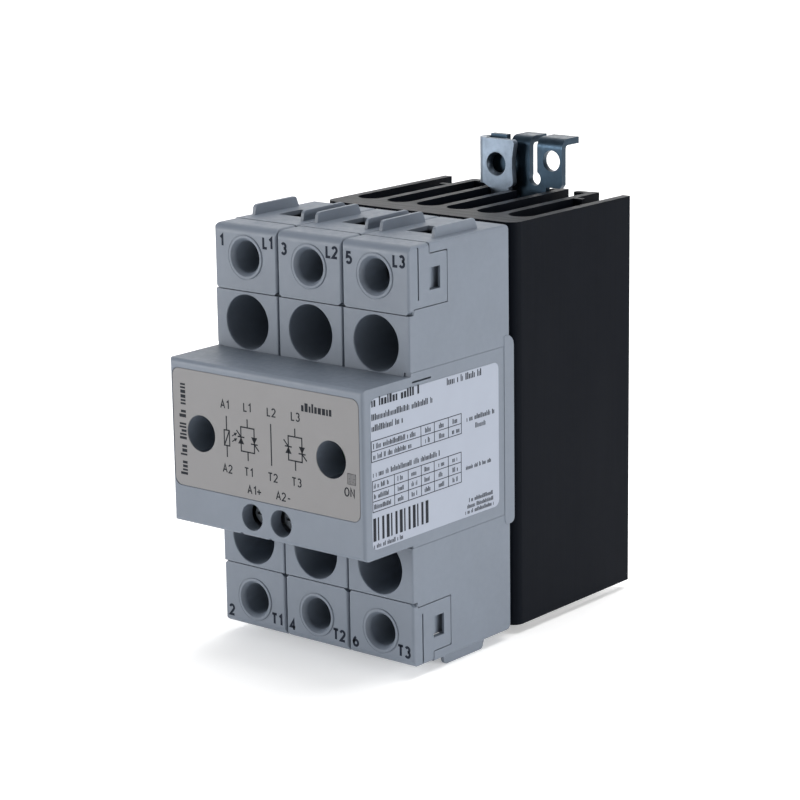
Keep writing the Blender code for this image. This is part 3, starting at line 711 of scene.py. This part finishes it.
# strokes of the marks used, in a cell one unit high
GLYPHS = {
    "1": [[(0.10, 0.78), (0.36, 1.0), (0.36, 0.0)]],
    "2": [arc(0.30, 0.71, 0.27, 165, -38, 8) + [(0.05, 0.0), (0.60, 0.0)]],
    "3": [arc(0.29, 0.745, 0.245, 150, -82, 8), arc(0.29, 0.27, 0.275, 82, -152, 9)],
    "4": [[(0.46, 0.0), (0.46, 1.0), (0.02, 0.29), (0.64, 0.29)]],
    "5": [[(0.56, 1.0), (0.13, 1.0), (0.08, 0.55)] + arc(0.30, 0.31, 0.30, 118, -148, 10)],
    "6": [arc(0.62, 0.36, 0.58, 118, 176, 6) + arc(0.33, 0.29, 0.28, 182, 540, 14)],
    "L": [[(0.06, 1.0), (0.06, 0.0), (0.52, 0.0)]],
    "T": [[(0.0, 1.0), (0.62, 1.0)], [(0.31, 1.0), (0.31, 0.0)]],
    "A": [[(0.0, 0.0), (0.33, 1.0), (0.66, 0.0)], [(0.12, 0.34), (0.54, 0.34)]],
    "O": [arc(0.34, 0.5, 0.32, 0, 360, 24, tall=0.5 / 0.32)],
    "N": [[(0.05, 0.0), (0.05, 1.0), (0.58, 0.0), (0.58, 1.0)]],
    "+": [[(0.0, 0.42), (0.66, 0.42)], [(0.33, 0.09), (0.33, 0.75)]],
    "-": [[(0.10, 0.40), (0.48, 0.40)]],
}
WORD_GAP = 0.26                             # between letters, as a share of their height


class Print:
    """Ink on one flat face: strokes of even width, gathered in one mesh."""

    def __init__(self, to_space, thickness=0.03):
        self.bm = bmesh.new()
        self.to_space = to_space
        self.thickness = thickness

    def line(self, points, width):
        """A stroke with mitred corners along the points."""
        points = [Vector(point) for point in points]
        stations = []
        for index, point in enumerate(points):
            ahead = points[min(index + 1, len(points) - 1)] - point
            behind = point - points[max(index - 1, 0)]
            ahead = ahead if ahead.length > 1e-6 else behind
            behind = behind if behind.length > 1e-6 else ahead
            ahead.normalize()
            behind.normalize()
            along = ahead + behind
            along = along.normalized() if along.length > 0.2 else ahead
            across = Vector((-along.y, along.x))
            reach = width / 2 / max(0.45, abs(across.dot(Vector((-ahead.y, ahead.x)))))
            left, right = point + across * reach, point - across * reach
            corners = ((left, self.thickness), (right, self.thickness), (right, 0.0), (left, 0.0))
            stations.append([self.bm.verts.new(self.to_space(spot.x, spot.y, level))
                             for spot, level in corners])
        for first, second in zip(stations, stations[1:]):
            for side in range(4):
                following = (side + 1) % 4
                self.bm.faces.new((first[side], first[following], second[following], second[side]))
        self.bm.faces.new(stations[0])
        self.bm.faces.new(stations[-1])

    def area(self, points):
        """A filled outline."""
        top = [self.bm.verts.new(self.to_space(u, v, self.thickness)) for u, v in points]
        bottom = [self.bm.verts.new(self.to_space(u, v, 0.0)) for u, v in points]
        self.bm.faces.new(top)
        self.bm.faces.new(bottom)
        for i in range(len(points)):
            j = (i + 1) % len(points)
            self.bm.faces.new((top[i], top[j], bottom[j], bottom[i]))

    def across(self, u, v, width):
        self.line([(u[0], v), (u[1], v)], width)

    def upright(self, u, v, width):
        self.line([(u, v[0]), (u, v[1])], width)

    def frame(self, u, v, width):
        """A rectangle of four strokes."""
        for height in v:
            self.across(u, height, width)
        for place_along in u:
            self.upright(place_along, grown(v, width / 2), width)

    def text(self, word, u, v, height, width, squeeze=1.0, centred=False):
        """Terminal marks in single strokes, from a lower left corner or about a middle point."""
        steps = [max(a for stroke in GLYPHS[letter] for a, _ in stroke) + WORD_GAP for letter in word]
        if centred:
            u, v = u - (sum(steps) - WORD_GAP) * height * squeeze / 2, v - height / 2
        for letter, step in zip(word, steps):
            for stroke in GLYPHS[letter]:
                self.line([(u + a * height * squeeze, v + b * height) for a, b in stroke], width)
            u += step * height * squeeze

    def ticks(self, u, v, length, height, seed, upright=True, weight=0.13):
        """A row of ticks in word-like groups, which stands for small print."""
        state, place_along = seed, 0.0      # a repeatable sequence of heights, widths and gaps
        while place_along < length:
            state = (state * 1103515245 + 12345) % 2147483648
            tall = (0.68, 1.0, 0.72, 0.7, 0.95)[state // 65536 % 5]
            wide = weight * height * (1.0 + 0.8 * (state // 4096 % 3) / 2)
            start, stop, rise = place_along, place_along + wide, tall * height
            if upright:
                corners = [(u + start, v), (u + stop, v), (u + stop, v + rise), (u + start, v + rise)]
            else:
                corners = [(u, v + start), (u, v + stop), (u - rise, v + stop), (u - rise, v + start)]
            self.area(corners)
            place_along = stop + height * (0.16 if state // 1024 % 6 else 0.62)

    def done(self, name, material, body):
        finish(place(self.bm, name), name, material, body)


def front_print(level):
    """Places ink on a face that looks forwards at a depth."""
    return lambda u, v, w: (u, level - w, v)


MARK_PLACES = {UPPER: ((-7.0, 41.35), (6.35, 42.0)), LOWER: ((-7.1, -42.0), (6.25, -41.7))}


def cover_marks(label, pole, row):
    """The terminal number beside the bore and the terminal's name on its other side."""
    ink = Print(front_print(0.0))
    number = str(2 * pole - 1 if row == UPPER else 2 * pole)
    for word, (across, height) in zip((number, label.upper()), MARK_PLACES[row]):
        ink.text(word, pole_x(pole) + across, height, 2.25, 0.56, 0.96, centred=True)
    ink.done(f"cover_marks_{label}", INK, f"cover_{label}")


def thyristor(ink, x, z, up, width):
    """Thyristor symbol: a filled triangle, its bar and the gate line."""
    way = 1 if up else -1
    bar = z + 0.78 * way
    ink.area([(x - 0.85, z - 0.72 * way), (x + 0.85, z - 0.72 * way), (x, z + 0.72 * way)])
    ink.across(about(x, 0.95), bar, width)
    ink.line([(x, bar), (x - way * 1.25, z + 2.1 * way)], width)


def front_label_print():
    """Circuit symbols and terminal names of the front label."""
    ink = Print(front_print(MODULE_FRONT + 0.02))
    width, height = 0.28, 1.7
    ink.text("A1", -12.25, 9.1, height, width)
    ink.upright(-10.78, (7.5, 4.4), width)
    ink.frame((-11.5, -10.0), (1.05, 4.4), width)
    ink.line([(-11.5, 1.05), (-10.0, 4.4)], width)
    ink.upright(-10.78, (1.05, -1.45), width)
    ink.text("A2", -12.1, -4.85, height, width)
    for z in (2.15, 3.35):
        ink.line([(-9.25, z), (-8.35, z + 0.55)], width * 0.8)
        ink.area([(-7.75, z + 0.9), (-8.75, z + 0.8), (-8.3, z + 0.15)])
    for left, right, low, high, name in ((-6.7, -2.95, 0.5, 5.75, "1"), (6.6, 10.35, 0.65, 5.8, "3")):
        centre = (left + right) / 2
        ink.upright(centre, (7.6, high), width)
        ink.frame((left, right), (low, high), width)
        ink.upright(centre, (low, -1.4), width)
        thyristor(ink, left, 2.75, True, width)
        thyristor(ink, right, 3.2, False, width)
        ink.text("L" + name, centre - 0.95, 9.3, height, width)
        ink.text("T" + name, centre - 1.05, -4.7, height, width)
    ink.upright(1.8, (7.6, -1.4), width)
    ink.text("L2", 0.85, 9.25, height, width)
    ink.text("T2", 0.8, -4.75, height, width)
    ink.text("A1+", -5.15, -8.45, height, width)
    ink.text("A2-", 2.9, -8.45, height, width)
    ink.text("ON", 21.75, -4.5, height, width)
    ink.ticks(-22.55, -7.3, 21.2, 2.0, 71, upright=False, weight=0.2)
    ink.ticks(10.4, 11.6, 9.0, 1.9, 37, weight=0.24)
    ink.done("front_label_print", PALE_INK, "relay")


# rows of small print on the side label: depth, height, length and size of each row
SMALL_PRINT = (
    (-12.6, 11.4, 19.8, 1.35), (-12.6, 9.1, 9.8, 1.35), (-12.2, 5.4, 13.6, 1.15),
    (-12.2, 3.2, 12.2, 1.15), (4.6, 5.4, 1.6, 1.15), (9.2, 5.4, 1.6, 1.15), (13.8, 5.4, 1.6, 1.15),
    (4.6, 3.2, 1.6, 1.15), (9.2, 3.2, 1.6, 1.15), (13.6, 3.2, 2.2, 1.15), (-12.4, -0.5, 21.5, 1.2),
    (12.0, 14.1, 11.6, 1.5), (18.6, 4.9, 9.3, 1.15), (21.6, 3.0, 3.6, 1.15), (18.2, -5.6, 8.6, 0.95),
    (19.2, -12.9, 8.2, 0.95), (18.6, -14.2, 9.0, 0.95), (17.9, -15.4, 9.8, 0.95),
    (-12.4, -15.6, 9.0, 1.0))


def side_label_print():
    """Rating plate: two blank tables, rows of small print as ticks, and a plain bar block."""
    side = MODULE_X[1] + 0.04
    ink = Print(lambda u, v, w: (side + w, u, v))
    small = Print(lambda u, v, w: (side + w, u, v))
    for y, z, lines_across, lines_up in (
            ((-12.8, 16.75), (2.75, 7.1), (4.95,), (3.2, 7.65, 12.35)),
            ((-12.65, 16.6), (-7.85, -1.28), (-3.45, -5.65), (-5.65, -1.15, 3.15, 7.45, 12.2))):
        ink.frame(y, z, 0.16)
        for height in lines_across:
            ink.across(y, height, 0.16)
        for depth in lines_up:
            ink.upright(depth, z, 0.16)
    ink.ticks(-12.55, 14.2, 15.5, 1.9, 5, weight=0.2)
    for number in range(13):
        wide = (0.9, 0.4, 0.65)[number % 3]
        start = -12.6 + number * 1.42
        ink.area([(start, -14.1), (start + wide, -14.1), (start + wide, -9.2), (start, -9.2)])
    for number, (y, z, length, height) in enumerate(SMALL_PRINT):
        small.ticks(y, z, length, height, 11 + 7 * number)
    for row, z in enumerate((-2.9, -5.1, -7.3)):
        for column, y in enumerate((-12.2, -4.6, -0.1, 4.2, 8.9, 13.6)):
            small.ticks(y, z, 5.2 if column == 0 else 1.8, 1.05, 200 + 31 * row + 7 * column)
    ink.done("side_label_lines", PALE_INK, "relay")
    small.done("side_label_small_print", PALE_INK, "relay")


# ------------------------------------------------------------------ metal pieces

def screw(node, body, head, shank, cross, pitch):
    """A pan-head machine screw with rolled threads: (radius, length) of its head, radius of its
    shank, (depth, length, width) of its cross slot, and its thread pitch."""
    (x, z), (front, stop) = seat(node), cad(node)[1]
    radius, tall = head
    bend = radius * 0.24
    along = front + tall
    profile = [(front, radius * 0.7)] + arc(front + bend, radius - bend, bend, 180, 90, 4)
    profile += [(along, radius), (along, shank)]
    while along + pitch < stop - 0.3:
        profile += [(along + pitch / 2, shank - pitch * 0.28), (along + pitch, shank)]
        along += pitch
    profile.append((stop, shank - 0.4))
    piece = turned(x, z, profile, 40)
    depth, length, width = cross
    reach = (front - 1, front + depth)
    cut(piece, block(about(x, length / 2), reach, about(z, width / 2)),
        block(about(x, width / 2), reach, about(z, length / 2)))
    shade(piece, 40)
    finish(piece, f"{node}_threaded", SCREW_ZINC, body, [node])


def screws():
    """The six power terminal, six heat sink, two control and two module screws."""
    for label, _, _ in TERMINALS:
        screw(f"terminal_screw_{label}", f"screw_{label}", (3.4, 2.3), 2.4, (1.5, 4.4, 0.9), 0.8)
        screw(f"heat_sink_screw_{label}", "relay", (4.2, 3.8), 2.1, (1.8, 5.0, 1.0), 0.8)
    for label in ("a1", "a2"):
        screw(f"control_screw_{label}", f"screw_{label}", (2.4, 1.4), 1.35, (0.7, 3.2, 0.6), 0.5)
    for side in ("left", "right"):
        screw(f"module_screw_{side}", "relay", (2.7, 2.1), 1.4, (1.2, 3.2, 0.7), 0.5)


def bent_flange(x_low, x_high, bend_z, reach):
    """A plate end folded rearwards at the top, drawn as one (y, z) profile."""
    outer, inner = 2.3, 0.8
    y = CLIP_FRONT
    outline = [(y, bend_z - 4)] + arc(y + outer, bend_z, outer, 180, 90, 10)
    outline += [(y + reach, bend_z + outer), (y + reach, bend_z + inner)]
    outline += arc(y + outer, bend_z, inner, 90, 180, 8) + [(y + CLIP_THICK, bend_z - 4)]
    return prism(outline, "x", x_low, x_high)


def rail_clip():
    """Folded steel clip: main plate with two fingers and a hook, and the earth tab folded round
    in front of it at the left."""
    top = 53.8
    outline = [(-6.5, 19.6), (6.5, 19.6), (6.5, 45.6), (10.4, 45.6), (11.0, 46.4), (11.0, top),
               (-3.4, top), (-3.4, 46.4), (-6.5, 46.4)]
    clip = prism(outline, "y", CLIP_FRONT, CLIP_FRONT + CLIP_THICK)
    add(clip, bent_flange(-3.4, 11.0, 54.6, 6.6))
    cut(clip, block((1.9, 4.0), (70, 90), (47.4, 60)), rod(3.35, 47.4, 1.6, 70, 90),
        rod(8.0, 51.8, 2.4, 70, 80))
    fold_x, fold_outer, fold_inner = -9.0, 2.25, 0.75
    fold_y = TAB_FRONT + fold_outer
    tab_y, plate_y = (TAB_FRONT, TAB_FRONT + CLIP_THICK), (CLIP_FRONT, CLIP_FRONT + CLIP_THICK)
    tab = [(-7.0, 43.6), (-2.0, 43.6), (-2.0, 45.2)] + arc(-2.0, 46.6, 1.3, -60, 0, 5)
    tab += [(-0.95, 49.5), (-0.95, 52.0), (-0.4, 55.2)] + arc(-1.3, 55.3, 0.9, 0, 90, 5)
    tab += [(fold_x, 56.2), (fold_x, 45.7), (-7.7, 44.9), (-7.0, 44.2)]
    fold = arc(fold_x, fold_y, fold_outer, 90, 270, 12) + [(-8.2, tab_y[0]), (-8.2, tab_y[1])]
    fold += arc(fold_x, fold_y, fold_inner, 270, 90, 8) + [(-4.6, plate_y[0]), (-4.6, plate_y[1])]
    add(clip, prism(tab, "y", *tab_y), prism(fold, "z", 45.7, 56.3),
        block((-9.2, -4.6), plate_y, (56.0, 56.9)),
        block((-8.2, -3.0), plate_y, (45.4, 49.0)))
    thread = [(71.0, 2.85), (72.0, 2.75), (72.2, 2.6), (72.8, 2.2), (74.5, 2.15)]
    cut(clip, turned(-5.5, 50.4, thread, 56))
    add(clip, block((-6.5, 6.5), (CLIP_FRONT, 82.5), (19.6, 21.1)),
        block((-6.5, 6.5), (81.0, 82.5), (16.5, 21.1)),
        block((-2.5, 2.5), (71.7, 75.4), (20.9, 22.4)))
    soften(clip, 0.22, 3)
    finish(clip, "rail_clip_plate", CLIP_ZINC_AND_SHADE, "rail_clip", ["din_clip"])


def return_spring():
    """Round spring wire wound with closed end turns."""
    x_range, y_range, z_range = cad("clip_spring")
    wire = 0.3
    coil = (x_range[1] - x_range[0]) / 2 - wire
    low, high = grown(z_range, -wire)
    curve = bpy.data.curves.new("clip_return_spring", "CURVE")
    curve.dimensions = "3D"
    curve.bevel_depth = wire * MM
    curve.bevel_resolution = 3
    curve.use_fill_caps = True
    turns, per_turn = 8, 20
    line = curve.splines.new("POLY")
    line.points.add(turns * per_turn)
    for index, point in enumerate(line.points):
        share = index / (turns * per_turn)
        rise = min(max((share - 0.1) / 0.8, 0.0), 1.0)
        z = low + (high - low) * (0.05 * share + 0.95 * rise)
        angle = 2 * math.pi * index / per_turn
        x = middle(x_range) + coil * math.cos(angle)
        y = middle(y_range) + coil * math.sin(angle)
        point.co = (*(TO_WORLD @ Vector((x, y, z))), 1)
    spring = link("clip_return_spring", curve)
    mesh = evaluated_mesh(spring)
    piece = link("clip_return_spring_wire", mesh)
    bpy.data.objects.remove(spring, do_unlink=True)
    mesh.materials.clear()
    mesh.shade_smooth()
    finish(piece, "clip_return_spring_wire", SPRING_WIRE, "relay", ["clip_spring"])
    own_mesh(piece)


def light_pipe():
    """Clear rod from the light on the board to its window, with a foot beside the light."""
    window = rounded(about(LED_X, 1.05), about(LED_Z, 1.1), (0.2,) * 4, 3)
    pipe = prism(window, "y", MODULE_FRONT + 0.03, -7.2)
    add(pipe, block((LED_X - 1.05, LED_X + 1.6), (-10.4, -9.4), (LED_Z - 2.2, LED_Z + 1.1)))
    soften(pipe, 0.06)
    finish(pipe, "led_light_pipe_lens", LIGHT_PIPE, "relay", ["led_light_pipe"])


# ------------------------------------------------------------------ kept CAD nodes

KEPT = (("wire_clamp", SCREW_ZINC), ("control_clamp", SCREW_ZINC), ("spring_stop_pin", SCREW_ZINC),
        ("busbar", COPPER), ("through_link", COPPER), ("gate_lead", BRASS), ("control_pin", BRASS),
        ("base_plate", ALUMINIUM), ("thermal_pad", PAD_GREY), ("ceramic_substrate", ALUMINA),
        ("thyristor_pair", EPOXY), ("optocoupler", EPOXY), ("control_board", BOARD),
        ("status_led", LENS))


def dress_kept_nodes():
    """Materials for the inner CAD nodes that are shown as they are."""
    for name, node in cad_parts.items():
        for start, material in KEPT:
            if name.startswith(start):
                for slot in node.material_slots:
                    slot.material = material


# ------------------------------------------------------------------ stage, light and camera

FLOOR_Z = CAD_BOUNDS[0][2]
CAMERA_TURN, CAMERA_RISE, CAMERA_ROLL = 39.53, 13.64, -0.87     # degrees
CAMERA_PLACE = (0.36405, -0.49153, 0.14249)
CAMERA_LENS = 119.9


def stage():
    """A pale floor that curves up behind the device, turned to face the camera."""
    bm = bmesh.new()
    size, rear, radius, high = 2.2, 1.3, 0.5, 1.6
    section = [(-size, 0.0)] + arc(rear - radius, radius, radius, -90, 0, 12) + [(rear, high)]
    rings = [[bm.verts.new((x, y, FLOOR_Z + z)) for y, z in section] for x in (-size, size)]
    for i in range(len(section) - 1):
        bm.faces.new((rings[0][i], rings[1][i], rings[1][i + 1], rings[0][i + 1]))
    mesh = bpy.data.meshes.new("studio_floor")
    bm.to_mesh(mesh)
    bm.free()
    mesh.shade_smooth()
    floor = link("studio_floor", mesh)
    paper = Shader("studio_paper", (0.95, 0.95, 0.95), 0.9)
    paper.surface.inputs["Emission Color"].default_value = (1, 1, 1, 1)
    paper.surface.inputs["Emission Strength"].default_value = 0.3
    paper.bump(paper.noise(60, 3), 0.05, 1.0)
    mesh.materials.append(paper.material)
    floor.rotation_euler = Euler((0, 0, math.radians(CAMERA_TURN)))


def softbox(name, place_at, aim, size, power):
    """A rectangular area light turned towards a point."""
    light = bpy.data.lights.new(name, "AREA")
    light.shape = "RECTANGLE"
    light.size, light.size_y = size
    light.energy = power
    lamp = link(name, light)
    lamp.location = place_at
    lamp.rotation_euler = (Vector(aim) - Vector(place_at)).to_track_quat("-Z", "Y").to_euler()


def lights():
    centre = (0, -0.03, 0)
    softbox("left_front_box", (-0.95, -1.1, 0.12), centre, (0.8, 0.9), 21)
    softbox("right_box", (1.35, 0.2, 0.1), centre, (0.8, 0.9), 18.5)
    softbox("top_box", (0.1, 0.3, 1.3), centre, (1.0, 1.0), 14)
    world = bpy.data.worlds.new("studio")
    bpy.context.scene.world = world
    world.use_nodes = True
    backdrop = world.node_tree.nodes["Background"]
    backdrop.inputs["Color"].default_value = (1, 1, 1, 1)
    backdrop.inputs["Strength"].default_value = 0.3


def camera():
    data = bpy.data.cameras.new("camera")
    data.lens = CAMERA_LENS
    data.sensor_width = 36
    stand = link("camera", data)
    turn = Euler((math.radians(90 - CAMERA_RISE), 0, math.radians(CAMERA_TURN))).to_matrix()
    roll = Matrix.Rotation(math.radians(CAMERA_ROLL), 3, "Z")
    stand.matrix_world = Matrix.Translation(CAMERA_PLACE) @ (turn @ roll).to_4x4()
    bpy.context.scene.camera = stand


# ------------------------------------------------------------------ assembly

heat_sink()
for pole in (1, 2, 3):
    pole_housing(pole)
for label, pole, row in TERMINALS:
    terminal_cover(label, pole, row)
    cover_marks(label, pole, row)
control_module()
label_plates()
front_label_print()
side_label_print()
light_pipe()
screws()
rail_clip()
return_spring()
dress_kept_nodes()
stage()
lights()
camera()
bpy.context.scene.view_settings.view_transform = "Standard"
